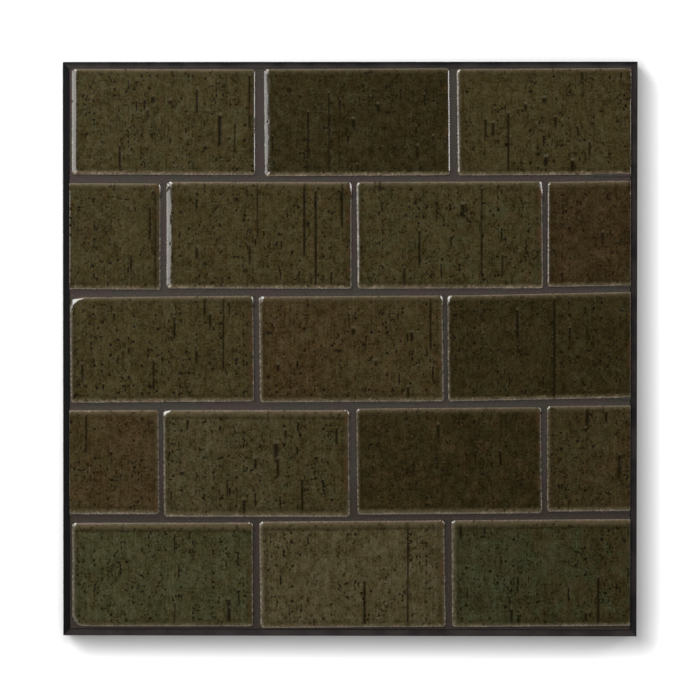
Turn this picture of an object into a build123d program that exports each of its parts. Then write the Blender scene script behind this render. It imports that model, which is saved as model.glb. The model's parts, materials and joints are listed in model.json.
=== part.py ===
from build123d import *
import math
import os

# Sample panel of glazed ceramic tiles, laid by hand in running bond on a square backer board,
# grouted, and closed round its sides with mitred edge strips.
# Millimetres. The origin is the centre of the panel's back, +Z points out through the tile
# faces and +Y towards the first course. Courses and tiles are numbered from the top left.

# Tile, as it comes out of the mould and the kiln
tile_length = 98.1
tile_height = 56.6
tile_thickness = 9.5
edge_radius = 1.8  # rolled edge round the face and down the corners
slumped_corner_radius = 6.0

# Tiling: odd courses start with whole tiles and end with a trimmed one
course_count = 5
whole_tiles = 2
trimmed_length = 95.0

# Joints
head_joint = 3.3  # between two tiles of a course
bed_joint = 3.7  # between two courses
edge_joint = 0.3  # between the tiling and the edge strips
grout_recess = 2.0  # from the tile faces down to the grout
smallest_cut = 4.0  # a narrower gap at the end of a course is left to the grout

# Board and edge strips
board_thickness = 6.35
strip_thickness = 3.2
strip_drop = 0.8  # from the tile faces down to the top of the strips
strip_ease = 0.3  # sanded outer arris

# How the tiles of each course were laid and fired: moved along the course and up, as shares of a
# joint, turned, ends leaning, both in degrees anticlockwise, and grown in percent of the mould.
hand_lay = [
    [(0.27, 0.0, -0.2, 0.2, -0.6), (0.67, -0.05, 0.3, 0.2, 0.5), (0.91, 0.0, 0.3, 0.5, 0.0)],
    [
        (0.33, -0.08, -0.3, 0.3, 0.0),
        (0.29, 0.05, -0.1, 0.1, 0.4),
        (0.26, 0.08, 0.2, 0.5, 0.5),
        (-0.11, 0.38, 0.9, -0.9, -1.3),
    ],
    [(0.03, -0.03, 0.5, 0.0, -0.4), (-0.21, 0.04, 0.4, 0.3, -0.3), (-0.65, 0.39, 1.2, -0.6, -0.5)],
    [
        (0.32, 0.03, 0.1, 0.3, -1.6),
        (-0.11, -0.12, 0.0, 0.4, 0.8),
        (0.18, 0.27, 0.5, 0.2, 0.1),
        (-0.05, 0.72, 0.6, -0.4, -0.5),
    ],
    [(0.11, 0.2, 0.1, 0.1, -1.8), (-0.02, 0.28, 0.5, 0.3, 0.5), (0.23, 0.5, 0.5, 0.0, 0.8)],
]
slumped_tile = (5, 1)  # the course and tile whose lower left corner sagged in firing

# The tiling sets the bay inside the strips, and the bay sets the panel
tile_pitch = tile_length + head_joint
course_pitch = tile_height + bed_joint
tiling_width = whole_tiles * tile_pitch + trimmed_length
tiling_height = course_count * course_pitch - bed_joint
bay_width = tiling_width + 2 * edge_joint
bay_height = tiling_height + 2 * edge_joint
panel_width = bay_width + 2 * strip_thickness
panel_height = bay_height + 2 * strip_thickness

# Levels above the back of the panel
face_level = board_thickness + tile_thickness
grout_level = face_level - grout_recess
strip_level = face_level - strip_drop


def tile_starts(course):
    """Where the whole tiles of a course would begin; every second course steps back by half a tile."""
    step_back = 0 if course % 2 else tile_pitch / 2
    first = -tiling_width / 2 - step_back
    count = math.ceil((tiling_width / 2 - smallest_cut - first) / tile_pitch)
    return [first + index * tile_pitch for index in range(count)]


def laid_tile(course, number, start):
    """One tile, moulded whole, laid as the setter left it and trimmed to the sides of the tiling."""
    row = hand_lay[(course - 1) % len(hand_lay)]
    along, up, turn, lean, growth = row[(number - 1) % len(row)]
    centre_x = start + tile_length / 2 + along * head_joint
    centre_y = tiling_height / 2 - tile_height / 2 - (course - 1) * course_pitch + up * bed_joint
    bed = Plane(
        origin=(centre_x, centre_y, board_thickness),
        x_dir=(math.cos(math.radians(turn)), math.sin(math.radians(turn)), 0),
        z_dir=(0, 0, 1),
    )
    fired_size = 1 + growth / 100
    end_x = fired_size * tile_length / 2
    side_y = fired_size * tile_height / 2
    slip = side_y * math.tan(math.radians(lean))

    with BuildPart() as tile:
        with BuildSketch(bed):
            with BuildLine():
                Polyline(
                    (-end_x + slip, -side_y),
                    (end_x + slip, -side_y),
                    (end_x - slip, side_y),
                    (-end_x - slip, side_y),
                    close=True,
                )
            make_face()
        extrude(amount=tile_thickness)
        corners = tile.edges().filter_by(Axis.Z)
        if (course, number) == slumped_tile:
            lower_left = bed.from_local_coords((-end_x + slip, -side_y, 0))
            fillet(corners.sort_by_distance(lower_left)[0], slumped_corner_radius)
            corners = corners.sort_by_distance(lower_left)[1:]
        rim = tile.faces().sort_by(Axis.Z)[-1].edges()
        fillet(corners + rim, edge_radius)
        with BuildSketch(Plane.XY.offset(board_thickness)):
            Rectangle(tiling_width, panel_height)
        extrude(amount=tile_thickness, mode=Mode.INTERSECT)
    tile.part.label = f"tile_{course}_{number}"
    return tile


def edge_strip(name, length, outer_middle, along):
    """One mitred strip: its outer face lies on the side of the panel, its inner face on the bay."""
    with BuildPart() as strip:
        with BuildSketch(Plane(origin=outer_middle, x_dir=along, z_dir=(0, 0, 1))):
            with BuildLine():
                Polyline(
                    (-length / 2, 0),
                    (length / 2, 0),
                    (length / 2 - strip_thickness, strip_thickness),
                    (-length / 2 + strip_thickness, strip_thickness),
                    close=True,
                )
            make_face()
        extrude(amount=strip_level)
        top_arris = strip.faces().sort_by(Axis.Z)[-1].edges().sort_by_distance(
            (outer_middle[0], outer_middle[1], strip_level)
        )[0]
        chamfer(top_arris, strip_ease)
    strip.part.label = f"edge_strip_{name}"
    return strip


tiles = [
    laid_tile(course, number, start)
    for course in range(1, course_count + 1)
    for number, start in enumerate(tile_starts(course), start=1)
]

with BuildPart() as backer_board:
    with BuildSketch():
        Rectangle(bay_width, bay_height)
    extrude(amount=board_thickness)
backer_board.part.label = "backer_board"

# The grout fills the bay round the tiles, from the board up to the recess below their faces
with BuildPart() as grout:
    with BuildSketch(Plane.XY.offset(board_thickness)):
        Rectangle(bay_width, bay_height)
    extrude(amount=grout_level - board_thickness)
    add([tile.part for tile in tiles], mode=Mode.SUBTRACT)
grout.part.label = "grout"

strips = [
    edge_strip("bottom", panel_width, (0, -panel_height / 2, 0), (1, 0, 0)),
    edge_strip("right", panel_height, (panel_width / 2, 0, 0), (0, 1, 0)),
    edge_strip("top", panel_width, (0, panel_height / 2, 0), (-1, 0, 0)),
    edge_strip("left", panel_height, (-panel_width / 2, 0, 0), (0, -1, 0)),
]

os.makedirs("parts", exist_ok=True)
for piece in [backer_board, grout, *strips, *tiles]:
    export_step(piece.part, f"parts/{piece.part.label}.step")
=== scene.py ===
import json
import math

import bpy
from mathutils import Matrix, Vector

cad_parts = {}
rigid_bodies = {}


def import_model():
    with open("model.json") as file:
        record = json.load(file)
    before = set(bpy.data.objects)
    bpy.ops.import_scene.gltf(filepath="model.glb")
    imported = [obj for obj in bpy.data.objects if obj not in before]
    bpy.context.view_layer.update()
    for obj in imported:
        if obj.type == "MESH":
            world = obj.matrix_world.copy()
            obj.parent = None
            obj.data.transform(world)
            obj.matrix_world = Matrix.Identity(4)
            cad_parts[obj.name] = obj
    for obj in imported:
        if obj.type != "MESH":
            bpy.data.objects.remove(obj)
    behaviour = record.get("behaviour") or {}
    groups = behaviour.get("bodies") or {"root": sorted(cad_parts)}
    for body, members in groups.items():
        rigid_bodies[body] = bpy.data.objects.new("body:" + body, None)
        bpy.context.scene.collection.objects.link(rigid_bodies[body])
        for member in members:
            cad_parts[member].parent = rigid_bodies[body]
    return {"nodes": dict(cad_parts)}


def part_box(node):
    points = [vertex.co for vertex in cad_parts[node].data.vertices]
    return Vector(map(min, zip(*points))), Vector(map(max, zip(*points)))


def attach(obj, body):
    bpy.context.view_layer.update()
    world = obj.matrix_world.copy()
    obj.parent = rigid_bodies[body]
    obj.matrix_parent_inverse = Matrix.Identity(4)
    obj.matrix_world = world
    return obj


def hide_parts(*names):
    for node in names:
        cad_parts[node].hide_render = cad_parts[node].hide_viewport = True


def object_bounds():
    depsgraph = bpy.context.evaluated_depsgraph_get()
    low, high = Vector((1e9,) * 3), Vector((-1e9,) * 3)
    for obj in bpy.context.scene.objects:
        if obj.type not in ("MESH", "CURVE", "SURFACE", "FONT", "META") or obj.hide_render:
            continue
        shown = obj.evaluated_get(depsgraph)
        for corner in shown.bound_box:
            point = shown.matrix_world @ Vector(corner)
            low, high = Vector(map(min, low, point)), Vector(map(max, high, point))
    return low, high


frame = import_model()
cad_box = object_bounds()


# The backer board is a plain sheet of brown fibreboard, sawn square. The tiles are bedded on its
# face, and its back is left bare.
def add_node(tree, kind, feeds={}, **settings):
    """Adds a node with its settings; each input takes a plain value or a link from a socket."""
    node = tree.nodes.new(kind)
    for setting, value in settings.items():
        setattr(node, setting, value)
    for socket, feed in feeds.items():
        if isinstance(feed, bpy.types.NodeSocket):
            tree.links.new(feed, node.inputs[socket])
        else:
            node.inputs[socket].default_value = feed
    return node


def maths(tree, operation, first, second=0.0, third=0.0):
    """A sum on numbers, each a value or a socket."""
    feeds = {0: first, 1: second, 2: third}
    return add_node(tree, "ShaderNodeMath", feeds, operation=operation).outputs[0]


def spread(tree, value, low, high, to_low=0.0, to_high=1.0, curve="SMOOTHSTEP"):
    """Maps a range of a value on to another range, and holds it there at both ends."""
    feeds = {"Value": value, "From Min": low, "From Max": high, "To Min": to_low, "To Max": to_high}
    return add_node(tree, "ShaderNodeMapRange", feeds, interpolation_type=curve).outputs[0]


def noise(tree, place, size, detail=2.0):
    """Cloudy noise about 0.5, with patches of about the given size in millimetres."""
    feeds = {"Vector": place, "Scale": 1 / size, "Detail": detail}
    return add_node(tree, "ShaderNodeTexNoise", feeds).outputs[0]


def blended(tree, amount, first, second):
    """Two colours mixed by an amount; each is a value or a socket."""
    feeds = {0: amount, 6: first, 7: second}
    return add_node(tree, "ShaderNodeMix", feeds, data_type="RGBA", clamp_factor=True).outputs[2]


def paint(red, green, blue):
    """A colour written as it shows on a screen, 0 to 255."""
    return (*(((channel / 255 + 0.055) / 1.055) ** 2.4 for channel in (red, green, blue)), 1.0)


def scaled(tree, vector, amount):
    """A vector times an amount."""
    feeds = {0: vector, "Scale": amount}
    return add_node(tree, "ShaderNodeVectorMath", feeds, operation="SCALE").outputs[0]


def millimetres(tree):
    """The place on the object in millimetres."""
    return scaled(tree, add_node(tree, "ShaderNodeTexCoord").outputs["Object"], 1000.0)


def new_material(name):
    """A material and its tree and Principled shader, ready to be wired."""
    material = bpy.data.materials.new(name)
    material.use_nodes = True
    return material, material.node_tree, material.node_tree.nodes["Principled BSDF"]


def finish_surface(tree, shader, colour, roughness, height, relief_mm):
    """Feeds the shader its colour, its roughness and a bump of the given depth."""
    tree.links.new(colour, shader.inputs["Base Color"])
    tree.links.new(roughness, shader.inputs["Roughness"])
    bump = add_node(tree, "ShaderNodeBump", {"Height": height, "Distance": relief_mm / 1000})
    tree.links.new(bump.outputs[0], shader.inputs["Normal"])


def fibreboard():
    material, tree, shader = new_material("fibreboard")
    fibres = noise(tree, millimetres(tree), 0.6, 4.0)
    clouds = noise(tree, millimetres(tree), 30.0, 3.0)
    pressed = blended(tree, spread(tree, clouds, 0.3, 0.7), paint(150, 118, 86), paint(170, 137, 103))
    colour = blended(tree, spread(tree, fibres, 0.45, 0.75), pressed, paint(118, 89, 62))
    finish_surface(tree, shader, colour, spread(tree, fibres, 0.3, 0.7, 0.7, 0.85), fibres, 0.1)
    return material


def dress(node, material):
    """Gives its material to a piece that keeps its plain shape."""
    frame["nodes"][node].data.materials.clear()
    frame["nodes"][node].data.materials.append(material)


dress("backer_board", fibreboard())


# The edge strips are thin hardwood lippings, mitred at the corners, glued round the board and painted
# black. Grout has been wiped over them, and leaves a grey haze in patches that varies from strip to strip.
panel_half = cad_box[1].x * 1000  # half the panel's side in millimetres


def parted(tree, vector):
    """The three numbers of a vector."""
    return add_node(tree, "ShaderNodeSeparateXYZ", {0: vector}).outputs


def black_paint(side, inner_haze, outer_haze):
    material, tree, shader = new_material(f"black_paint_{side}")
    wiped = noise(tree, millimetres(tree), 14.0, 5.0)
    grain = noise(tree, millimetres(tree), 0.8, 3.0)
    place = parted(tree, millimetres(tree))
    outward = maths(tree, "MAXIMUM", *(maths(tree, "ABSOLUTE", place[axis]) for axis in "XY"))
    haze = spread(tree, outward, panel_half - 3.0, panel_half - 0.3, inner_haze, outer_haze, "LINEAR")
    haze = maths(tree, "MULTIPLY_ADD", spread(tree, wiped, 0.35, 0.65), 0.35, haze)
    haze = maths(tree, "MULTIPLY_ADD", spread(tree, grain, 0.55, 0.75), 0.2, haze)
    colour = blended(tree, haze, paint(16, 15, 16), paint(62, 57, 55))
    finish_surface(tree, shader, colour, spread(tree, wiped, 0.3, 0.7, 0.5, 0.75), grain, 0.06)
    shader.inputs["Specular IOR Level"].default_value = 0.1
    return material


# How hazy each strip is along its inner and its outer edge
HAZES = {"top": (0.55, -0.3), "right": (0.1, 0.2), "bottom": (0.35, 0.45), "left": (-0.3, -0.4)}
for side, (inner_haze, outer_haze) in HAZES.items():
    dress(f"edge_strip_{side}", black_paint(side, inner_haze, outer_haze))


# Each tile is a pressed slab of brown clay, glazed and fired lying flat. The glaze pools olive-green
# on the face, crawls into pits and drags, and breaks thin and tan over the rolled edges. Whole tiles
# are rolled on all four edges, and the ones at the sides of the panel are sawn off flush.
FACE_STEP = 0.00056  # spacing of the points on the face
RIM_RINGS = (4.2, 3.7, 3.2, 2.7, 2.2, 1.8, 1.4, 1.0, 0.7, 0.4, 0.2, 0.0)  # millimetres in from the outline
CORNER_RADIUS = 0.0018
SLUMPED_RADIUS = 0.006
WAVES, HOLLOWS, PEEL = 0.0004, 0.00015, 0.00018  # how deep the waves, the pits and the peel are
SAME = 1e-5  # lengths that differ by less count as the same

# How wide each tile's left, right, upper and lower edges roll over, in millimetres
ROLLS = {
    "tile_1_1": (3.0, 2.6, 2.0, 2.0),
    "tile_1_2": (3.5, 2.6, 2.0, 2.0),
    "tile_1_3": (2.5, 2.6, 2.0, 2.0),
    "tile_2_1": (2.4, 2.6, 2.0, 2.0),
    "tile_2_2": (3.3, 2.2, 2.2, 2.0),
    "tile_2_3": (1.9, 2.2, 2.2, 2.2),
    "tile_2_4": (1.6, 2.6, 2.2, 2.0),
    "tile_3_1": (2.0, 2.0, 2.0, 2.2),
    "tile_3_2": (2.4, 2.4, 2.0, 2.4),
    "tile_3_3": (1.7, 2.6, 2.0, 2.2),
    "tile_4_1": (2.4, 2.4, 2.4, 2.8),
    "tile_4_2": (2.0, 2.6, 2.8, 3.0),
    "tile_4_3": (2.0, 2.2, 2.2, 3.0),
    "tile_4_4": (2.2, 2.6, 2.2, 2.4),
    "tile_5_1": (2.6, 2.0, 3.2, 2.0),
    "tile_5_2": (3.0, 2.4, 3.0, 2.0),
    "tile_5_3": (3.0, 2.6, 3.0, 2.0),
}
LEFT_DROP, LEFT_CURVE = 0.42, 1.35  # how deep the left roll is for its width, and how evenly it slopes
OTHER_DROP, OTHER_CURVE = 0.36, 2.0

OLIVE = paint(60, 52, 28)
STRAW = paint(76, 68, 44)
SAGE = paint(69, 61, 38)
MOSS = paint(64, 61, 37)
FERN = paint(57, 55, 33)
UMBER = paint(55, 48, 25)
TAWNY = paint(61, 49, 27)
BRONZE = paint(53, 41, 21)
DEEP = paint(46, 39, 17)
DUSK = paint(43, 36, 15)

# Each tile's tone at its left and right, how mossy, how rusty and how pitted it is, how dark the glaze
# has pooled along its upper edge, how pale it left the upper and the lower arris, as bare clay and partly
# as painted reflection, and how thin the ends
FIRING = {
    "tile_1_1": (OLIVE, OLIVE, 0.4, 0.2, 0.6, 0.3, 0.3, 1.0, 0.1),
    "tile_1_2": (DEEP, DUSK, 0.3, 0.1, 0.5, 0.3, 0.2, 1.0, 0.1),
    "tile_1_3": (OLIVE, OLIVE, 0.2, 0.3, 0.6, 0.3, 0.3, 0.8, 0.4),
    "tile_2_1": (UMBER, OLIVE, 0.3, 0.3, 0.7, 0.2, 0.4, 0.8, 0.3),
    "tile_2_2": (OLIVE, OLIVE, 0.2, 0.4, 0.7, 0.2, 0.6, 0.9, 0.1),
    "tile_2_3": (OLIVE, OLIVE, 0.5, 0.2, 0.8, 0.3, 0.5, 1.0, 0.4),
    "tile_2_4": (BRONZE, BRONZE, 0.1, 0.6, 0.4, 0.2, 0.5, 0.6, 0.4),
    "tile_3_1": (OLIVE, OLIVE, 0.1, 0.2, 0.8, 0.3, 0.5, 1.0, 0.3),
    "tile_3_2": (TAWNY, OLIVE, 0.0, 0.6, 0.6, 0.3, 0.5, 0.7, 0.6),
    "tile_3_3": (DEEP, DEEP, 0.2, 0.3, 0.6, 0.3, 0.5, 0.8, 0.5),
    "tile_4_1": (OLIVE, TAWNY, 0.1, 0.6, 0.5, 0.3, 0.6, 1.0, 0.6),
    "tile_4_2": (SAGE, OLIVE, 0.5, 0.2, 0.8, 0.7, 0.8, 1.0, 0.5),
    "tile_4_3": (DEEP, DUSK, 0.1, 0.5, 0.3, 0.3, 0.5, 1.0, 0.5),
    "tile_4_4": (UMBER, TAWNY, 0.25, 0.5, 0.6, 0.4, 0.5, 1.0, 0.6),
    "tile_5_1": (MOSS, MOSS, 0.6, 0.2, 0.6, 1.0, 0.8, 0.6, 0.4),
    "tile_5_2": (STRAW, STRAW, 0.3, 0.3, 0.5, 0.9, 0.8, 0.6, 0.7),
    "tile_5_3": (FERN, UMBER, 0.8, 0.0, 0.6, 0.9, 0.8, 0.7, 0.7),
}

# Where corners sank in the kiln: the tile, the corner's side in x and y, how far the hollow reaches along
# x and y, how deep it sank, in millimetres, and how much of the roll it flattened. The upper right ones
# slope so that they mirror the right softbox.
SUNK_CORNERS = [
    ("tile_2_2", -1, 1, 4.4, 6.0, 1.0, 0.5),
    ("tile_3_1", -1, 1, 7.8, 5.8, 1.75, 0.0),
    ("tile_3_2", -1, 1, 4.2, 6.6, 1.1, 0.6),
    ("tile_3_3", -1, 1, 3.8, 6.6, 1.1, 0.6),
    ("tile_4_2", -1, 1, 6.6, 4.2, 1.2, 0.5),
    ("tile_5_1", -1, -1, 9.0, 7.0, 0.7, 0.0),
    ("tile_2_1", 1, 1, 1.9, 8.5, 1.3, 1.0),
    ("tile_2_2", 1, 1, 2.3, 10.0, 1.35, 1.0),
    ("tile_2_3", 1, 1, 2.8, 12.0, 1.4, 1.0),
    ("tile_3_1", 1, 1, 2.1, 6.5, 1.3, 1.0),
    ("tile_3_2", 1, 1, 2.5, 7.0, 1.35, 1.0),
    ("tile_4_2", 1, 1, 2.3, 5.0, 1.35, 1.0),
    ("tile_4_3", 1, 1, 2.5, 4.2, 1.2, 1.0),
    ("tile_5_1", 1, 1, 2.2, 4.0, 1.35, 1.0),
    ("tile_5_2", 1, 1, 2.6, 4.0, 1.35, 1.0),
]

# Drags where the glaze has run open: x, upper y, lower y and width in millimetres
DRAGS = [
    (-81, 138, 125, 0.6), (-95, 132, 130, 1.1), (-107, 127, 122, 0.8), (-53, 145, 117, 0.8),
    (-69, 124, 108, 1.2), (-61, 120, 104, 0.6), (-122, 108, 95, 0.8), (-11, 136, 94, 0.6),
    (-22, 126, 102, 0.6), (36, 108, 101, 0.8), (15, 130, 126, 0.9), (2, 122, 117, 1.1),
    (84, 125, 94, 0.8), (72, 122, 112, 0.9), (76, 120, 113, 0.9), (103, 133, 130, 1.7),
    (109, 123, 117, 0.8), (104, 102, 97, 1.5), (118, 100, 94, 1.5), (127, 110, 102, 0.7),
    (123, 147, 142, 1.0), (93, 130, 126, 1.1), (-103, 85, 32, 0.7), (-106, 75, 59, 0.6),
    (-116, 50, 40, 0.6), (-49, 88, 59, 0.6), (-24, 88, 49, 0.8), (-18, 84, 32, 0.8),
    (-53, 55, 45, 0.7), (-4, 88, 65, 0.7), (-81, 54, 48, 0.8), (16, 89, 84, 1.2),
    (70, 85, 38, 0.6), (37, 63, 45, 0.7), (60, 77, 70, 1.3), (29, 43, 33, 0.8),
    (81, 50, 38, 0.7), (134, 62, 55, 0.9), (-77, 27, 18, 0.9), (-67, 27, -11, 0.7),
    (-93, 17, 6, 0.8), (-125, 19, 15, 0.8), (-74, 19, 11, 0.8), (-104, -6, -22, 0.7),
    (-81, -1, -8, 0.7), (-142, -8, -18, 0.8), (-38, -8, -12, 0.9), (43, 27, 0, 0.7),
    (33, 9, 4, 1.1), (2, 11, 8, 1.4), (14, -6, -9, 1.1), (31, -20, -25, 1.0),
    (89, 21, 6, 0.9), (108.5, 27, -27, 0.8), (-140, -35, -56, 0.6), (-39, -50, -58, 1.9),
    (-38, -58, -68, 0.8), (-56, -80, -89, 1.1), (-25, -69, -86, 0.8), (-50, -58, -64, 1.0),
    (-34, -43, -48, 0.9), (-7, -42, -51, 0.8), (-65, -69, -79, 0.6), (-89, -65, -67, 1.6),
    (47, -40, -47, 1.0), (126, -31, -41, 1.2), (143, -56, -69, 0.8), (136, -33, -39, 1.0),
    (-93, -98, -109, 0.6), (-64, -133, -145, 1.2), (-93, -135, -145, 0.6), (31, -92, -148, 0.7),
    (8, -123, -147, 0.9), (59, -93, -101, 1.1), (132, -121, -146, 0.9), (86, -138, -147, 1.0),
]

face_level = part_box("tile_2_2")[1].z
bed_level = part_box("tile_2_2")[0].z
mid_level = (face_level + bed_level) / 2
tile_nodes = sorted(name for name in frame["nodes"] if name.startswith("tile_"))
saw_left = min(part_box(name)[0].x for name in tile_nodes)
saw_right = max(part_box(name)[1].x for name in tile_nodes)


def face_corner(node, x_side, y_side):
    """The corner of a solid's flat face that lies furthest to the given sides."""
    points = [point.co for point in frame["nodes"][node].data.vertices if point.co.z > face_level - SAME]
    return max(points, key=lambda place: x_side * place.x + y_side * place.y).copy()


solid_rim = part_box("tile_1_2")[1].y - face_corner("tile_1_2", 1, 1).y


def sawn_side(node):
    """-1 or 1 where a tile is sawn off at the left or right of the panel, and 0 for a whole one."""
    return (saw_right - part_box(node)[1].x < SAME) - (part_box(node)[0].x - saw_left < SAME)


def laid_place(node, whole_length):
    """Half the length and height of the tile as moulded, and the matrix that lays it in its course."""
    upper_left, upper_right = face_corner(node, -1, 1), face_corner(node, 1, 1)
    lower_left, lower_right = face_corner(node, -1, -1), face_corner(node, 1, -1)
    along = (upper_right - upper_left).normalized()
    half_length = (upper_right - upper_left).length / 2 + solid_rim
    up = upper_right - lower_right
    centre = (upper_left + lower_right) / 2
    if sawn_side(node) < 0:
        half_length = whole_length / 2
        centre = (upper_right + lower_right) / 2 - along * (half_length - solid_rim)
    elif sawn_side(node) > 0:
        half_length = whole_length / 2
        up = upper_left - lower_left
        centre = (upper_left + lower_left) / 2 + along * (half_length - solid_rim)
    flat_height = abs(along.cross(up).z)
    up = up / flat_height
    lay = Matrix(((along.x, up.x, 0, centre.x), (along.y, up.y, 0, centre.y), (0, 0, 1, 0), (0, 0, 0, 1)))
    return half_length, flat_height / 2 + solid_rim, lay


def moulded_tile(name, half_length, half_height):
    """A whole tile about the origin: a fine face, closer rings round it, walls and a flat back."""
    bpy.ops.object.select_all(action="DESELECT")
    rings = [(millimetres_in / 1000, 0.0) for millimetres_in in RIM_RINGS]
    rings.append((0.0, face_level - bed_level))
    reach = Vector((half_length - rings[0][0], half_height - rings[0][0]))
    columns, rows = round(2 * reach.x / FACE_STEP), round(2 * reach.y / FACE_STEP)
    bpy.ops.mesh.primitive_grid_add(x_subdivisions=columns, y_subdivisions=rows, size=2, calc_uvs=False)
    tile = bpy.context.object
    tile.name = tile.data.name = name
    tile.scale = (reach.x, reach.y, 1)
    tile.location = (0, 0, face_level)
    bpy.ops.object.transform_apply(location=True, rotation=True, scale=True)
    bpy.ops.object.mode_set(mode="EDIT")
    bpy.ops.mesh.select_all(action="SELECT")
    bpy.ops.mesh.region_to_loop()
    sunk = 0.0
    for inward, lower in rings[1:]:
        wider = Vector((half_length - inward, half_height - inward))
        bpy.ops.mesh.extrude_edges_move(TRANSFORM_OT_translate={"value": (0, 0, sunk - lower)})
        bpy.ops.transform.resize(value=(wider.x / reach.x, wider.y / reach.y, 1), center_override=(0, 0, 0))
        reach, sunk = wider, lower
    bpy.ops.mesh.edge_face_add()
    bpy.ops.mesh.select_all(action="SELECT")
    bpy.ops.mesh.normals_make_consistent(inside=False)
    bpy.ops.mesh.faces_shade_smooth()
    bpy.ops.mesh.select_all(action="DESELECT")
    bpy.ops.mesh.select_face_by_sides(number=4, type="GREATER")
    bpy.ops.mesh.select_more()
    bpy.ops.mesh.faces_shade_flat()
    bpy.ops.object.mode_set(mode="OBJECT")
    return tile


def new_tree(name, kind, inputs, outputs):
    """An empty node tree with named sockets; returns it, its inputs and the sockets for its results."""
    tree = bpy.data.node_groups.new(name, kind)
    for socket, socket_kind in inputs.items():
        tree.interface.new_socket(socket, in_out="INPUT", socket_type=f"NodeSocket{socket_kind}")
    for socket, socket_kind in outputs.items():
        tree.interface.new_socket(socket, in_out="OUTPUT", socket_type=f"NodeSocket{socket_kind}")
    return tree, tree.nodes.new("NodeGroupInput").outputs, tree.nodes.new("NodeGroupOutput").inputs


def new_shaping(name, sizes={}):
    """A geometry tree that takes a mesh and some sizes, and gives the mesh back."""
    return new_tree(name, "GeometryNodeTree", {"Mesh": "Geometry", **sizes}, {"Mesh": "Geometry"})


def run_nodes(thing, tree, sizes):
    """Runs a geometry node tree on an object with the given sizes, and applies it."""
    modifier = thing.modifiers.new(tree.name, "NODES")
    modifier.node_group = tree
    for socket in tree.interface.items_tree:
        if socket.in_out == "INPUT" and socket.name in sizes:
            modifier[socket.identifier] = sizes[socket.name]
    bpy.ops.object.modifier_apply(modifier=modifier.name)


def joined(tree, x=0.0, y=0.0, z=0.0):
    """A vector made from three numbers."""
    return add_node(tree, "ShaderNodeCombineXYZ", {"X": x, "Y": y, "Z": z}).outputs[0]


def vector_maths(tree, operation, first, second=(0, 0, 0)):
    """A sum on two vectors, each a value or a socket."""
    return add_node(tree, "ShaderNodeVectorMath", {0: first, 1: second}, operation=operation).outputs[0]


def length_of(tree, vector):
    return add_node(tree, "ShaderNodeVectorMath", {0: vector}, operation="LENGTH").outputs["Value"]


def moved_points(tree, mesh, offset):
    """The mesh with each point moved by an offset."""
    return add_node(tree, "GeometryNodeSetPosition", {"Geometry": mesh, "Offset": offset}).outputs[0]


def kept_value(tree, mesh, name, value):
    """Keeps a vector on each point of the mesh under a name."""
    feeds = {"Geometry": mesh, "Name": name, "Value": value}
    return add_node(tree, "GeometryNodeStoreNamedAttribute", feeds, data_type="FLOAT_VECTOR").outputs[0]


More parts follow.
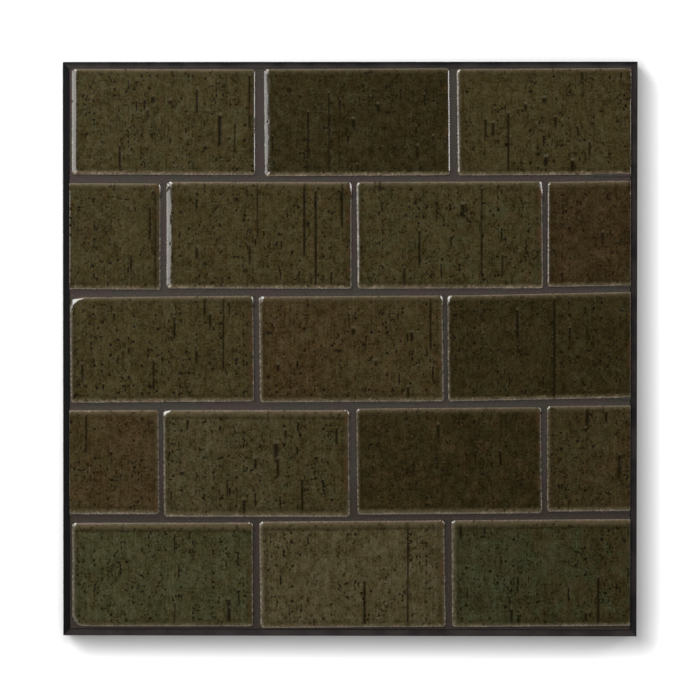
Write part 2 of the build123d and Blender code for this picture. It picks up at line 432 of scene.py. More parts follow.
def rolled_edges():
    """Notes where each point lies on the moulded tile, rolls its edges over and rounds its corners."""
    sizes = {"Half Size": "Vector", "Left Roll": "Float", "Right Roll": "Float", "Upper Roll": "Float",
             "Lower Roll": "Float", "Radius": "Float", "Lower Left Radius": "Float"}
    tree, given, result = new_shaping("rolled_edges", sizes)
    position = add_node(tree, "GeometryNodeInputPosition").outputs[0]
    place = parted(tree, position)
    inward = vector_maths(tree, "SUBTRACT", given["Half Size"], vector_maths(tree, "ABSOLUTE", position))
    in_mm = vector_maths(tree, "MULTIPLY", inward, (1000, 1000, 0))
    left = maths(tree, "LESS_THAN", place["X"])
    upper = maths(tree, "GREATER_THAN", place["Y"])
    end_roll = spread(tree, left, 0.0, 1.0, given["Right Roll"], given["Left Roll"], "LINEAR")
    side_roll = spread(tree, upper, 0.0, 1.0, given["Lower Roll"], given["Upper Roll"], "LINEAR")
    own_place = vector_maths(tree, "DIVIDE", position, given["Half Size"])
    mesh = kept_value(tree, given["Mesh"], "own_place", own_place)
    mesh = kept_value(tree, mesh, "rim", in_mm)
    mesh = kept_value(tree, mesh, "roll", joined(tree, end_roll, side_roll))

    # How far the rolls at the end and at the long side let each point down
    curve = spread(tree, left, 0.0, 1.0, OTHER_CURVE, LEFT_CURVE, "LINEAR")
    deepest = spread(tree, left, 0.0, 1.0, OTHER_DROP, LEFT_DROP, "LINEAR")
    deepest = maths(tree, "MULTIPLY", end_roll, deepest)
    end_share = spread(tree, parted(tree, in_mm)["X"], 0.0, end_roll, 1.0, 0.0, "LINEAR")
    end_drop = maths(tree, "MULTIPLY", maths(tree, "POWER", end_share, curve), deepest)
    side_share = spread(tree, parted(tree, in_mm)["Y"], 0.0, side_roll, 1.0, 0.0, "LINEAR")
    deepest = maths(tree, "MULTIPLY", side_roll, OTHER_DROP)
    side_drop = maths(tree, "MULTIPLY", maths(tree, "POWER", side_share, OTHER_CURVE), deepest)
    drop = maths(tree, "MULTIPLY_ADD", end_drop, end_drop, maths(tree, "MULTIPLY", side_drop, side_drop))
    drop = maths(tree, "MULTIPLY", maths(tree, "SQRT", drop), 0.001)
    drop = maths(tree, "MULTIPLY", drop, maths(tree, "GREATER_THAN", place["Z"], mid_level))

    # Points that lie outside the round of a corner are pulled in to it
    distances = [parted(tree, inward)[axis] for axis in "XY"]
    lower_left = maths(tree, "MULTIPLY", left, maths(tree, "SUBTRACT", 1.0, upper))
    radius = spread(tree, lower_left, 0.0, 1.0, given["Radius"], given["Lower Left Radius"], "LINEAR")
    past = [maths(tree, "MAXIMUM", maths(tree, "SUBTRACT", radius, distance)) for distance in distances]
    length = maths(tree, "SQRT", maths(tree, "ADD", *(maths(tree, "MULTIPLY", side, side) for side in past)))
    kept_share = maths(tree, "DIVIDE", maths(tree, "MAXIMUM", *past), maths(tree, "MAXIMUM", length, 1e-9))
    pulled = maths(tree, "SUBTRACT", kept_share, 1.0)
    moves = [
        maths(tree, "MULTIPLY", maths(tree, "MULTIPLY", side, pulled), maths(tree, "SIGN", place[axis]))
        for side, axis in zip(past, "XY")
    ]
    offset = joined(tree, *moves, maths(tree, "MULTIPLY", drop, -1.0))
    tree.links.new(moved_points(tree, mesh, offset), result["Mesh"])
    return tree


def sunk_corner():
    """Lets one corner of the moulded tile sink to a slanting flat and flattens the roll beside it."""
    sizes = {"Corner": "Vector", "Reach": "Vector", "Depth": "Float", "Flattened": "Float"}
    tree, given, result = new_shaping("sunk_corner", sizes)
    position = add_node(tree, "GeometryNodeInputPosition").outputs[0]
    height = parted(tree, position)["Z"]
    away = vector_maths(tree, "ABSOLUTE", vector_maths(tree, "SUBTRACT", position, given["Corner"]))
    away = vector_maths(tree, "MULTIPLY", away, (1000, 1000, 0))
    away = parted(tree, vector_maths(tree, "DIVIDE", away, given["Reach"]))
    near = maths(tree, "SUBTRACT", 1.0, maths(tree, "ADD", away["X"], away["Y"]))
    flattened = maths(tree, "MULTIPLY", spread(tree, near, 0.0, 0.25), given["Flattened"])
    rolled = maths(tree, "MULTIPLY", maths(tree, "SUBTRACT", face_level, height), flattened)
    depth = maths(tree, "MULTIPLY", given["Depth"], 0.001)
    sunk = maths(tree, "MULTIPLY", maths(tree, "MAXIMUM", near), depth)
    rise = maths(tree, "SUBTRACT", rolled, sunk)
    rise = maths(tree, "MULTIPLY", rise, maths(tree, "GREATER_THAN", height, mid_level))
    tree.links.new(moved_points(tree, given["Mesh"], joined(tree, 0.0, 0.0, rise)), result["Mesh"])
    return tree


def cells(tree, place, size):
    """Scattered cells: how far each place is from its cell's middle in millimetres, and random numbers."""
    in_cells = vector_maths(tree, "MULTIPLY", place, (1 / size[0], 1 / size[1], 0))
    feeds = {"Vector": in_cells, "Scale": 1.0}
    nearest = add_node(tree, "ShaderNodeTexVoronoi", feeds, voronoi_dimensions="2D")
    local = vector_maths(tree, "SUBTRACT", in_cells, nearest.outputs["Position"])
    return vector_maths(tree, "MULTIPLY", local, (*size, 0)), parted(tree, nearest.outputs["Color"])


def specks(tree, place, size, share, radius):
    """Ragged specks in a share of the cells, each up to the given radius in millimetres."""
    local, chance = cells(tree, place, (size, size))
    least = maths(tree, "SUBTRACT", 1.0, share)
    own_radius = spread(tree, chance["X"], least, 1.0, -0.4 * radius, radius, "LINEAR")
    outside = maths(tree, "SUBTRACT", length_of(tree, local), own_radius)
    return spread(tree, outside, -0.35 * radius, 0.1 * radius, 1.0, 0.0)


def hollows(tree, place, pitting):
    """Pits and short drags that the glaze has crawled back from, and the band above each drag that takes a
    painted highlight.
    """
    elsewhere = vector_maths(tree, "ADD", place, (31, 17, 0))
    ragged = joined(tree, noise(tree, place, 1.1), noise(tree, elsewhere, 1.1))
    place = vector_maths(tree, "ADD", place, vector_maths(tree, "MULTIPLY", ragged, (1.8, 1.8, 0)))
    pits = specks(tree, place, 4.2, maths(tree, "MULTIPLY", pitting, 0.9), 0.95)

    local, chance = cells(tree, place, (4.5, 17.0))
    side = parted(tree, local)
    shown = maths(tree, "GREATER_THAN", maths(tree, "MULTIPLY", pitting, 0.25), chance["X"])
    half_width = spread(tree, chance["Y"], 0.0, 1.0, 0.3, 0.6)
    off_middle = maths(tree, "DIVIDE", maths(tree, "ABSOLUTE", side["X"]), half_width)
    across = maths(tree, "MULTIPLY", spread(tree, off_middle, 0.5, 1.1, 1.0, 0.0), shown)
    below_head = spread(tree, side["Y"], -0.1, 0.4, 1.0, 0.0)
    tail = spread(tree, chance["Z"], 0.0, 1.0, -1.0, -8.0)
    above_end = spread(tree, maths(tree, "SUBTRACT", side["Y"], tail), -1.0, 1.0)
    drags = maths(tree, "MULTIPLY", across, maths(tree, "MULTIPLY", below_head, above_end))
    over_head = maths(tree, "SUBTRACT", spread(tree, side["Y"], 1.3, 0.8), below_head)
    return maths(tree, "MAXIMUM", pits, drags), maths(tree, "MULTIPLY", across, over_head)


def noted(tree, name, data_type="FLOAT"):
    """What an earlier step kept on each point under a name."""
    kind = "GeometryNodeInputNamedAttribute"
    return add_node(tree, kind, {"Name": name}, data_type=data_type).outputs[0]


def glaze_relief():
    """Lets the fired face sink in slow waves, a fine peel, pits and drags."""
    tree, given, result = new_shaping("glaze_relief", {"Pitting": "Float"})
    position = add_node(tree, "GeometryNodeInputPosition").outputs[0]
    place = vector_maths(tree, "MULTIPLY", position, (1000, 1000, 1000))
    height = parted(tree, position)["Z"]
    hollow = maths(tree, "MAXIMUM", hollows(tree, place, given["Pitting"])[0], noted(tree, "drag"))
    sunk = maths(tree, "MULTIPLY", noise(tree, place, 26.0, 1.0), WAVES)
    sunk = maths(tree, "MULTIPLY_ADD", hollow, HOLLOWS, sunk)
    rim = parted(tree, noted(tree, "rim", "FLOAT_VECTOR"))
    inward = maths(tree, "MINIMUM", rim["X"], rim["Y"])
    sunk = maths(tree, "MULTIPLY", sunk, spread(tree, inward, 0.4, 3.0))
    peel = maths(tree, "MULTIPLY_ADD", noise(tree, place, 2.2, 2.0), PEEL, -0.00008)
    peel = maths(tree, "MULTIPLY", peel, spread(tree, height, face_level - 0.003, face_level - 0.0015))
    peel = maths(tree, "MULTIPLY", peel, spread(tree, rim["X"], 2.0, 4.5, 0.35, 1.0))
    outward = maths(tree, "MULTIPLY", maths(tree, "ADD", peel, sunk), -1.0)
    normal = add_node(tree, "GeometryNodeInputNormal").outputs[0]
    tree.links.new(moved_points(tree, given["Mesh"], scaled(tree, normal, outward)), result["Mesh"])
    return tree


def note_drags(tile, node):
    """Notes how deep each point lies in a long drag, from 0 to 1, and how far it lies in the band above one
    that takes a painted highlight.
    """
    low, high = (corner * 1000 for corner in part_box(node))
    depths = [0.0] * len(tile.data.vertices)
    lip_highlights = [0.0] * len(tile.data.vertices)
    for x, top, foot, width in DRAGS:
        if not (low.x < x < high.x and low.y < (top + foot) / 2 < high.y):
            continue
        for index, point in enumerate(tile.data.vertices):
            side = abs(point.co.x * 1000 - x) / width
            y = point.co.y * 1000
            if side >= 1.2 or not foot - 1 < y < top + 1.6 + width:
                continue
            inside = min(1.0, max(0.0, 1.7 - 1.6 * side))
            below_head = max(0.0, (top - y) * 1.5 + 0.5)
            above_foot = max(0.0, (y - foot) / 2 + 0.5)
            depths[index] = max(depths[index], inside * min(1.0, below_head, above_foot))
            if y > top:
                lip_highlight = min(1.0, 1.6 - 1.3 * side) * min(1.0, (top + 1.0 + 0.6 * width - y) * 1.5)
                lip_highlights[index] = max(lip_highlights[index], lip_highlight)
    for name, values in (("drag", depths), ("lip_highlight", lip_highlights)):
        tile.data.attributes.new(name, "FLOAT", "POINT").data.foreach_set("value", values)


def saw_off(tile, node):
    """Saws the tile off at the side of the panel and gives the sawn end its own finish."""
    side = sawn_side(node)
    if not side:
        return
    bpy.ops.object.mode_set(mode="EDIT")
    bpy.ops.mesh.select_all(action="SELECT")
    cut = (saw_right if side > 0 else saw_left, 0, 0)
    bpy.ops.mesh.bisect(plane_co=cut, plane_no=(side, 0, 0), use_fill=True, clear_outer=True)
    tile.active_material_index = 1
    bpy.ops.object.material_slot_assign()
    bpy.ops.mesh.faces_shade_flat()
    bpy.ops.object.mode_set(mode="OBJECT")


def fired_glaze():
    """The colour of the fired tile at each place, its roughness, its fine relief and where it is glazed."""
    tree, given, result = new_tree(
        "fired_glaze",
        "ShaderNodeTree",
        {"Place": "Vector", "Own Place": "Vector", "Rim": "Vector", "Roll": "Vector", "Drag": "Float",
         "Lip Highlight": "Float", "Left Tone": "Color", "Right Tone": "Color", "Moss": "Float", "Rust": "Float",
         "Pitting": "Float", "Pooling": "Float", "Upper Arris": "Float", "Lower Arris": "Float",
         "Thin Ends": "Float"},
        {"Colour": "Color", "Roughness": "Float", "Height": "Float", "Glassy": "Float"},
    )
    place = given["Place"]
    flat_place = vector_maths(tree, "MULTIPLY", place, (1, 1, 0))
    shifted = vector_maths(tree, "MULTIPLY", vector_maths(tree, "ADD", flat_place, (211, 97, 0)), (1, 0.8, 0))
    own = parted(tree, given["Own Place"])
    rim = parted(tree, given["Rim"])
    mottle = noise(tree, shifted, 3.4, 3.0)
    grain = noise(tree, flat_place, 1.1, 3.0)

    # The body of the glaze: from the left tone to the right one, with mossy and rusty patches
    along = maths(tree, "MULTIPLY_ADD", noise(tree, flat_place, 26.0), 3.0, own["X"])
    colour = blended(tree, spread(tree, along, 0.7, 2.3), given["Left Tone"], given["Right Tone"])
    stippled = spread(tree, grain, 0.38, 0.58, 0.3, 0.85)
    mossy = spread(tree, noise(tree, shifted, 7.0, 4.0), 0.48, 0.6)
    mossy = maths(tree, "MULTIPLY", maths(tree, "MULTIPLY", mossy, given["Moss"]), stippled)
    colour = blended(tree, mossy, colour, paint(53, 58, 35))
    rusty = spread(tree, noise(tree, flat_place, 8.0, 4.0), 0.46, 0.62)
    rusty = maths(tree, "MULTIPLY", maths(tree, "MULTIPLY", rusty, given["Rust"]), stippled)
    colour = blended(tree, rusty, colour, paint(66, 49, 28))

    # Its depth: slow clouds, a mottle, a fine grain and faint runs down the tile
    runs = noise(tree, vector_maths(tree, "MULTIPLY", flat_place, (1, 0.07, 0)), 1.0, 2.0)
    light = maths(tree, "MULTIPLY_ADD", noise(tree, flat_place, 14.0, 2.0), 1.0, -1.82)
    for pattern, strength in ((mottle, 1.5), (grain, 2.4), (runs, 0.9)):
        light = maths(tree, "MULTIPLY_ADD", pattern, strength, light)
    light = maths(tree, "MAXIMUM", light, 0.3)
    warmer, greyer = (1.02, 0.98, 0.85, 1), (0.96, 1.02, 1.25, 1)
    tint = blended(tree, spread(tree, light, 0.9, 1.5, curve="LINEAR"), warmer, greyer)
    colour = vector_maths(tree, "MULTIPLY", scaled(tree, colour, light), tint)

    # Dark blots and specks, pale flecks, pits and drags, and a painted highlight above the drags
    streamed = vector_maths(tree, "MULTIPLY", shifted, (1, 0.5, 0))
    gathered = spread(tree, noise(tree, streamed, 8.0, 3.0), 0.42, 0.6, 0.05, 1.0)
    blots = spread(tree, noise(tree, shifted, 1.9, 3.0), 0.57, 0.65)
    dashes = specks(tree, vector_maths(tree, "MULTIPLY", shifted, (1, 0.55, 0)), 1.8, 0.7, 0.6)
    dark = maths(tree, "MULTIPLY", maths(tree, "MAXIMUM", blots, dashes), gathered)
    colour = blended(tree, maths(tree, "MULTIPLY", dark, 0.95), colour, paint(22, 17, 6))
    pale = maths(tree, "MULTIPLY", specks(tree, flat_place, 2.2, 0.55, 0.34), gathered)
    colour = blended(tree, maths(tree, "MULTIPLY", pale, 0.6), colour, paint(108, 100, 74))
    hollow, lip_highlight = hollows(tree, flat_place, given["Pitting"])
    drag = maths(tree, "MULTIPLY", given["Drag"], spread(tree, grain, 0.35, 0.5, 0.6, 1.0))
    hollow = maths(tree, "MAXIMUM", hollow, drag)
    lip_highlight = maths(tree, "MAXIMUM", lip_highlight, given["Lip Highlight"])
    colour = blended(tree, maths(tree, "MULTIPLY", hollow, 0.95), colour, paint(21, 16, 5))
    # Painted highlight: a pale band above each drag, standing in for light caught on a lip that is not
    # modelled.
    colour = blended(tree, maths(tree, "MULTIPLY", lip_highlight, 0.35), colour, paint(104, 97, 76))

    # The edges: a pooled band inside the roll, then thin glaze, and the clay showing on the arris
    roll = parted(tree, given["Roll"])
    ragged = maths(tree, "SUBTRACT", noise(tree, flat_place, 1.8, 3.0), 0.5)
    from_side = maths(tree, "MULTIPLY_ADD", ragged, 3.0, rim["Y"])
    from_end = maths(tree, "MULTIPLY_ADD", ragged, 2.5, rim["X"])
    within_side = maths(tree, "SUBTRACT", from_side, roll["Y"])
    within_end = maths(tree, "SUBTRACT", from_end, roll["X"])
    upper = maths(tree, "GREATER_THAN", own["Y"])
    pooled = spread(tree, upper, 0.0, 1.0, 0.35, given["Pooling"], "LINEAR")
    pooled = maths(tree, "MULTIPLY", spread(tree, within_side, 2.8, 1.2), pooled)
    pooled = maths(tree, "MAXIMUM", pooled, spread(tree, within_end, 2.2, 0.8, 0.0, 0.4))
    colour = blended(tree, maths(tree, "MULTIPLY", pooled, 0.7), colour, paint(38, 32, 12))
    beads = maths(tree, "MULTIPLY", spread(tree, noise(tree, flat_place, 2.6, 2.0), 0.54, 0.62), pooled)
    colour = blended(tree, maths(tree, "MULTIPLY", beads, 0.7), colour, paint(24, 18, 6))
    # The upper and lower arris: bare clay, and partly painted reflection. The share on the upper arris grows
    # down the panel, and the tan on the lower arris is paler than on the upper one.
    bare_and_reflection = spread(tree, upper, 0.0, 1.0, given["Lower Arris"], given["Upper Arris"], "LINEAR")
    marks = maths(tree, "MULTIPLY_ADD", maths(tree, "MAXIMUM", dark, hollow), -0.75, 1.0)
    thin = spread(tree, within_side, spread(tree, upper, 0.0, 1.0, 1.0, 1.9), -1.5)
    thin = maths(tree, "MULTIPLY", thin, spread(tree, bare_and_reflection, 0.0, 1.0, 0.45, 0.85, "LINEAR"))
    colour = blended(tree, maths(tree, "MULTIPLY", thin, marks), colour, paint(90, 80, 56))
    up_roll = maths(tree, "DIVIDE", from_end, maths(tree, "MAXIMUM", roll["X"], 0.1))
    beaded = spread(tree, noise(tree, shifted, 1.5, 2.0), 0.44, 0.56)
    thin = maths(tree, "MULTIPLY", spread(tree, up_roll, 1.1, 0.1), given["Thin Ends"])
    gaps = maths(tree, "MULTIPLY", maths(tree, "SUBTRACT", 1.0, beaded), thin)
    thin = maths(tree, "MULTIPLY", thin, spread(tree, beaded, 0.0, 1.0, 0.4, 0.95))
    colour = blended(tree, thin, colour, paint(108, 98, 76))
    burnt = spread(tree, noise(tree, flat_place, 11.0, 2.0), 0.48, 0.6, 0.0, 0.55)
    burnt = maths(tree, "MULTIPLY", burnt, maths(tree, "GREATER_THAN", own["X"]))
    burnt = maths(tree, "MULTIPLY", burnt, spread(tree, within_end, 1.6, -0.4))
    colour = blended(tree, burnt, colour, paint(74, 53, 30))
    worn = spread(tree, noise(tree, flat_place, 9.0, 5.0), 0.38, 0.6, 0.25, 1.0)
    broken = maths(tree, "MULTIPLY", spread(tree, from_side, 2.2, 0.4), maths(tree, "MULTIPLY", bare_and_reflection, worn))
    broken_end = maths(tree, "MULTIPLY", spread(tree, from_end, 0.9, 0.2, 0.0, 0.7), beaded)
    broken = maths(tree, "MAXIMUM", broken, broken_end)
    into_corner = spread(tree, maths(tree, "MAXIMUM", from_side, from_end), 4.5, 2.0)
    upper_corner = maths(tree, "MULTIPLY", upper, into_corner)
    broken = maths(tree, "MULTIPLY", broken, maths(tree, "MULTIPLY_ADD", upper_corner, -0.8, 1.0))
    flaked = spread(tree, noise(tree, shifted, 1.1, 3.0), 0.4, 0.6)
    pale_tan = blended(tree, upper, paint(150, 136, 112), paint(120, 106, 82))
    tan = blended(tree, flaked, blended(tree, upper, paint(98, 84, 63), paint(76, 64, 45)), pale_tan)
    reddish = spread(tree, noise(tree, shifted, 9.0, 2.0), 0.46, 0.58, 0.0, 0.5)
    reddish = maths(tree, "MULTIPLY_ADD", upper, 0.3, reddish)
    tan = blended(tree, reddish, tan, blended(tree, flaked, paint(82, 60, 46), paint(116, 88, 72)))
    colour = blended(tree, broken, colour, tan)

    # Below the glaze line the clay is bare
    glazed = spread(tree, maths(tree, "MULTIPLY_ADD", ragged, 2.0, parted(tree, place)["Z"]), 12.5, 12.9)
    clay = blended(tree, spread(tree, grain, 0.35, 0.65), paint(122, 92, 66), paint(146, 114, 84))
    colour = blended(tree, glazed, clay, colour)
    rough = maths(tree, "MULTIPLY_ADD", broken, 0.2, spread(tree, mottle, 0.3, 0.7, 0.24, 0.38))
    rough = maths(tree, "ADD", rough, spread(tree, glazed, 1.0, 0.0, 0.0, 0.5))
    relief = maths(tree, "MULTIPLY_ADD", mottle, 0.6, maths(tree, "MULTIPLY", grain, 0.4))
    relief = maths(tree, "SUBTRACT", relief, maths(tree, "MULTIPLY", dark, 0.3))
    glassy = maths(tree, "MULTIPLY", glazed, spread(tree, hollow, 0.05, 0.5, 1.0, 0.1))
    glassy = maths(tree, "MULTIPLY", glassy, spread(tree, gaps, 0.1, 0.6, 1.0, 0.25))
    for name, value in (("Colour", colour), ("Roughness", rough), ("Height", relief), ("Glassy", glassy)):
        tree.links.new(value, result[name])
    return tree


GLAZE = fired_glaze()


def glazed_clay(node):
    """The finish of one tile: its own firing of the shared glaze, under a clear glassy skin."""
    material, tree, shader = new_material(f"glaze_{node}")
    look = tree.nodes.new("ShaderNodeGroup")
    look.node_tree = GLAZE
    tree.links.new(millimetres(tree), look.inputs["Place"])
    for socket, name, output in (
        ("Own Place", "own_place", "Vector"), ("Rim", "rim", "Vector"), ("Roll", "roll", "Vector"),
        ("Drag", "drag", "Fac"), ("Lip Highlight", "lip_highlight", "Fac"),
    ):
        stored = add_node(tree, "ShaderNodeAttribute", attribute_name=name)
        tree.links.new(stored.outputs[output], look.inputs[socket])
    firing = (
        "Left Tone", "Right Tone", "Moss", "Rust", "Pitting",
        "Pooling", "Upper Arris", "Lower Arris", "Thin Ends",
    )
    for socket, value in zip(firing, FIRING[node]):
        look.inputs[socket].default_value = value
    colour, roughness, height, glassy = look.outputs
    finish_surface(tree, shader, colour, roughness, height, 0.12)
    tree.links.new(glassy, shader.inputs["Coat Weight"])
    shader.inputs["Coat Roughness"].default_value = 0.08
    shader.inputs["Coat IOR"].default_value = 1.6
    shader.inputs["Specular IOR Level"].default_value = 0.15
    return material


def sawn_clay():
    material, tree, shader = new_material("sawn_clay")
    grit = noise(tree, millimetres(tree), 0.7, 4.0)
    colour = blended(tree, spread(tree, grit, 0.35, 0.65), paint(104, 78, 56), paint(140, 110, 82))
    finish_surface(tree, shader, colour, spread(tree, grit, 0.3, 0.7, 0.8, 0.95), grit, 0.2)
    return material


EDGES, CORNER, RELIEF, SAWN = rolled_edges(), sunk_corner(), glaze_relief(), sawn_clay()
whole_length = 2 * laid_place("tile_2_2", 0)[0]
for node in tile_nodes:
    half_length, half_height, lay = laid_place(node, whole_length)
    tile = moulded_tile(f"glazed_{node}", half_length, half_height)
    tile.data.materials.append(glazed_clay(node))
    tile.data.materials.append(SAWN)
    left_roll, right_roll, upper_roll, lower_roll = ROLLS[node]
    run_nodes(tile, EDGES, {
        "Half Size": (half_length, half_height, 1.0),
        "Left Roll": left_roll,
        "Right Roll": right_roll,
        "Upper Roll": upper_roll,
        "Lower Roll": lower_roll,
        "Radius": CORNER_RADIUS,
        "Lower Left Radius": SLUMPED_RADIUS if node == "tile_5_1" else CORNER_RADIUS,
    })
    for owner, side_x, side_y, reach_x, reach_y, depth, flattened in SUNK_CORNERS:
        if owner == node:
            run_nodes(tile, CORNER, {
                "Corner": (side_x * half_length, side_y * half_height, 0.0),
                "Reach": (reach_x, reach_y, 1.0),
                "Depth": depth,
                "Flattened": flattened,
            })
    tile.data.transform(lay)
    note_drags(tile, node)
    run_nodes(tile, RELIEF, {"Pitting": FIRING[node][4]})
    saw_off(tile, node)
    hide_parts(node)
    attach(tile, "root")


# The grout is sanded cement, purple-grey, wiped hollow between the tiles while it was wet. It fills every
# joint and the narrow gap along the strips, feathers up to the tiles' edges and smears over a few of them.
GROUT_STEP = 0.0006  # spacing of the points on the grout
TUCK = 0.0019  # how far it is modelled in under the tiles' edges
FILLED = 0.0007  # how much fuller than the plain solid the joints are
FEATHER, FEATHER_WIDTH = 0.0003, 0.0015  # how far it climbs at an edge, and over what width
WAVER = 0.0003  # how much its top rises and falls along the joints

# Smears: the place of each in millimetres, its reach along x and y, and how high it stands
SMEARS = [
    (139, 93, 15, 2.6, 0.6), (149, 148, 5, 3.5, 0.6), (146, 35, 8, 3.0, 0.5), (147, -25, 7, 2.6, 0.5),
]
grout_low, grout_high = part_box("grout")


def wiped_joints():
    """Keeps what lies in the joints of a flat sheet, gives it the grout's depth and shapes its top."""
    tree, given, result = new_shaping("wiped_joints")
    solids = tree.nodes.new("GeometryNodeJoinGeometry")
    for node in tile_nodes:
        feeds = {"Object": frame["nodes"][node]}
        solid = add_node(tree, "GeometryNodeObjectInfo", feeds, transform_space="RELATIVE")
        tree.links.new(solid.outputs["Geometry"], solids.inputs[0])
    position = add_node(tree, "GeometryNodeInputPosition").outputs[0]
    place = parted(tree, position)
    in_mm = vector_maths(tree, "MULTIPLY", position, (1000, 1000, 0))
    level_place = joined(tree, place["X"], place["Y"], mid_level)
    feeds = {0: solids.outputs[0], "Sample Position": level_place}
    nearest = add_node(tree, "GeometryNodeProximity", feeds, target_element="FACES")
    feeds = {0: solids.outputs[0], "Source Position": level_place}
    feeds.update({"Ray Direction": (0, 0, 1), "Ray Length": 0.01})
    under = add_node(tree, "GeometryNodeRaycast", feeds).outputs["Is Hit"]
    sign = spread(tree, under, 0.0, 1.0, 1.0, -1.0, "LINEAR")
    clear = maths(tree, "MULTIPLY", nearest.outputs["Distance"], sign)

    # What is left of the sheet is raised into a body with a back
    feeds = {0: given["Mesh"], "Selection": maths(tree, "LESS_THAN", clear, -TUCK)}
    sheet = add_node(tree, "GeometryNodeDeleteGeometry", feeds, domain="FACE").outputs[0]
    rise = joined(tree, 0.0, 0.0, grout_high.z - grout_low.z)
    feeds = {0: sheet, "Offset": rise, "Offset Scale": 1.0, "Individual": False}
    raised = add_node(tree, "GeometryNodeExtrudeMesh", feeds)
    back = add_node(tree, "GeometryNodeFlipFaces", {0: sheet}).outputs[0]
    body = tree.nodes.new("GeometryNodeJoinGeometry")
    tree.links.new(raised.outputs[0], body.inputs[0])
    tree.links.new(back, body.inputs[0])
    body = add_node(tree, "GeometryNodeMergeByDistance", {0: body.outputs[0], "Distance": 1e-5}).outputs[0]

    # Its top climbs at the edges of the tiles, except at their left ends, and covers some of them
    toward = vector_maths(tree, "SUBTRACT", nearest.outputs["Position"], level_place)
    distance = maths(tree, "MAXIMUM", nearest.outputs["Distance"], SAME)
    toward = maths(tree, "DIVIDE", parted(tree, toward)["X"], distance)
    toward = maths(tree, "MULTIPLY", toward, maths(tree, "SIGN", clear))
    climb = spread(tree, clear, FEATHER_WIDTH, 0.0, 0.0, FEATHER)
    climb = maths(tree, "MULTIPLY", climb, spread(tree, toward, 0.9, 0.3))
    top = maths(tree, "MULTIPLY_ADD", noise(tree, in_mm, 5.0), WAVER, -WAVER / 2)
    top = maths(tree, "ADD", maths(tree, "ADD", climb, top), FILLED)
    ragged = maths(tree, "MULTIPLY_ADD", noise(tree, in_mm, 2.5, 3.0), 1.2, 0.4)
    for x, y, reach_x, reach_y, height in SMEARS:
        away = vector_maths(tree, "SUBTRACT", in_mm, (x, y, 0))
        away = length_of(tree, vector_maths(tree, "DIVIDE", away, (reach_x, reach_y, 1)))
        smear = spread(tree, maths(tree, "MULTIPLY", away, ragged), 1.0, 0.6, 0.0, height / 1000)
        top = maths(tree, "ADD", top, smear)
    top = maths(tree, "MULTIPLY", top, maths(tree, "GREATER_THAN", place["Z"], grout_high.z - 0.001))
    tree.links.new(moved_points(tree, body, joined(tree, 0.0, 0.0, top)), result["Mesh"])
    return tree


def sanded_cement():
    material, tree, shader = new_material("sanded_cement")
    sand = noise(tree, millimetres(tree), 0.5, 4.0)
    patches = noise(tree, millimetres(tree), 22.0, 3.0)
    body = blended(tree, spread(tree, patches, 0.4, 0.6), paint(67, 57, 54), paint(63, 59, 52))
    # The grout is darker towards the bottom of the panel.
    darker_low_down = spread(tree, parted(tree, millimetres(tree))["Y"], -60.0, -85.0)
    body = blended(tree, darker_low_down, body, paint(57, 49, 43))
    grains = maths(tree, "MULTIPLY", spread(tree, sand, 0.5, 0.75), 0.7)
    pores = maths(tree, "MULTIPLY", spread(tree, sand, 0.5, 0.3), 0.7)
    colour = blended(tree, grains, body, paint(84, 77, 72))
    colour = blended(tree, pores, colour, paint(44, 38, 36))
    finish_surface(tree, shader, colour, spread(tree, sand, 0.3, 0.7, 0.8, 0.95), sand, 0.3)
    shader.inputs["Specular IOR Level"].default_value = 0.15
    return material


bpy.ops.object.select_all(action="DESELECT")
columns, rows = (round(side / GROUT_STEP) for side in (grout_high - grout_low).xy)
bpy.ops.mesh.primitive_grid_add(x_subdivisions=columns, y_subdivisions=rows, size=2, calc_uvs=False)
joints = bpy.context.object
joints.name = joints.data.name = "wiped_grout"
joints.scale = ((grout_high.x - grout_low.x) / 2, (grout_high.y - grout_low.y) / 2, 1)
joints.location = ((grout_high.x + grout_low.x) / 2, (grout_high.y + grout_low.y) / 2, grout_low.z)
bpy.ops.object.transform_apply(location=True, rotation=True, scale=True)
joints.data.materials.append(sanded_cement())
run_nodes(joints, wiped_joints(), {})
bpy.ops.object.shade_smooth()
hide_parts("grout")
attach(joints, "root")


# The studio: a white floor that runs out into white, a key lamp at the upper left, a softbox at each
# side of the panel's upper half, and white walls that are dim near the floor and overhead. The shade on
# the floor round the panel is partly the lamps' shadow and partly painted shade in the floor's colour and
# its camera-only glow, which both rise with distance from the panel; the painted shade falls a little to
# the lower right.
SHADE_SHIFT = (1.5, -1.2, 0)  # millimetres


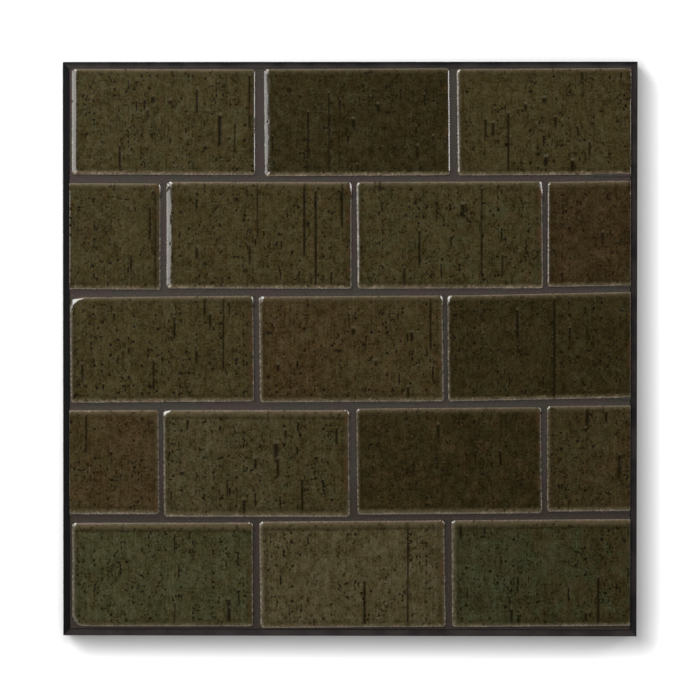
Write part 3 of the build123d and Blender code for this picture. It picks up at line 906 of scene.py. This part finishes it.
def white_floor():
    material, tree, shader = new_material("white_floor")
    shader.inputs["Roughness"].default_value = 1.0
    shader.inputs["Specular IOR Level"].default_value = 0.0
    shader.inputs["Emission Color"].default_value = (1, 1, 1, 1)
    shifted = vector_maths(tree, "SUBTRACT", millimetres(tree), SHADE_SHIFT)
    outside = vector_maths(tree, "ABSOLUTE", shifted)
    outside = vector_maths(tree, "SUBTRACT", outside, (panel_half, panel_half, 0))
    away = length_of(tree, vector_maths(tree, "MAXIMUM", outside, (0, 0, 0)))
    # Painted shade: the floor's colour is darker within 8 mm of the panel, shifted a little to the lower
    # right.
    shade = spread(tree, away, 0.0, 8.0, curve="LINEAR")
    shade = blended(tree, shade, (0.62, 0.62, 0.62, 1), (0.88, 0.88, 0.88, 1))
    tree.links.new(shade, shader.inputs["Base Color"])
    seen = add_node(tree, "ShaderNodeLightPath").outputs["Is Camera Ray"]
    # Painted shadow: the camera-only glow is weaker near the panel and rises with distance from it.
    glow = spread(tree, away, 1.2, 14.0, 0.16, 0.58, "LINEAR")
    glow = maths(tree, "MULTIPLY", maths(tree, "ADD", glow, spread(tree, away, 14.0, 60.0, 0.0, 0.42)), seen)
    tree.links.new(glow, shader.inputs["Emission Strength"])
    return material


bpy.ops.object.select_all(action="DESELECT")
bpy.ops.mesh.primitive_plane_add(size=8)
floor = bpy.context.object
floor.name = "studio_floor"
floor.data.materials.append(white_floor())

camera_data = bpy.data.cameras.new("camera")
camera_data.lens = 120
camera_data.sensor_width = 36
camera = bpy.data.objects.new("camera", camera_data)
camera.location = (0.0132, 0.0149, 1.2534)
camera.rotation_euler = (math.radians(-0.707), math.radians(0.603), math.radians(0.029))
bpy.context.collection.objects.link(camera)
bpy.context.scene.camera = camera


def softbox(name, place, aim, width, height, radiance):
    """A soft area lamp; radiance is how bright its face looks, where 1 is white."""
    data = bpy.data.lights.new(name, "AREA")
    data.shape = "RECTANGLE"
    data.size, data.size_y = width, height
    data.energy = radiance * math.pi * width * height
    lamp = bpy.data.objects.new(name, data)
    lamp.location = place
    lamp.rotation_euler = (Vector(aim) - Vector(place)).to_track_quat("-Z", "Y").to_euler()
    bpy.context.collection.objects.link(lamp)
    return lamp


softbox("key_lamp", (-0.67, 0.67, 0.74), (0, 0, 0), 0.6, 0.6, 9.5)
softbox("left_softbox", (-0.8, 0.19, 0.56), (0, 0.19, 0.0), 0.31, 0.6, 3.4)
softbox("right_softbox", (0.8, 0.315, 0.45), (0, 0.315, 0.0), 0.34, 0.2, 9.0)

world = bpy.data.worlds.new("studio")
bpy.context.scene.world = world
world.use_nodes = True
sky = world.node_tree
background = sky.nodes["Background"]
rise = parted(sky, add_node(sky, "ShaderNodeTexCoord").outputs["Generated"])["Z"]
low_dimmed = spread(sky, rise, 0.2, 0.5, 0.2, 1.0)
high_dimmed = spread(sky, rise, 0.55, 0.8, 1.0, 0.015)
walls = maths(sky, "MULTIPLY", low_dimmed, high_dimmed)
camera_ray = add_node(sky, "ShaderNodeLightPath").outputs["Is Camera Ray"]
sky.links.new(maths(sky, "MAXIMUM", walls, camera_ray), background.inputs["Strength"])
background.inputs["Color"].default_value = (1, 1, 1, 1)

bpy.context.scene.view_settings.view_transform = "Standard"
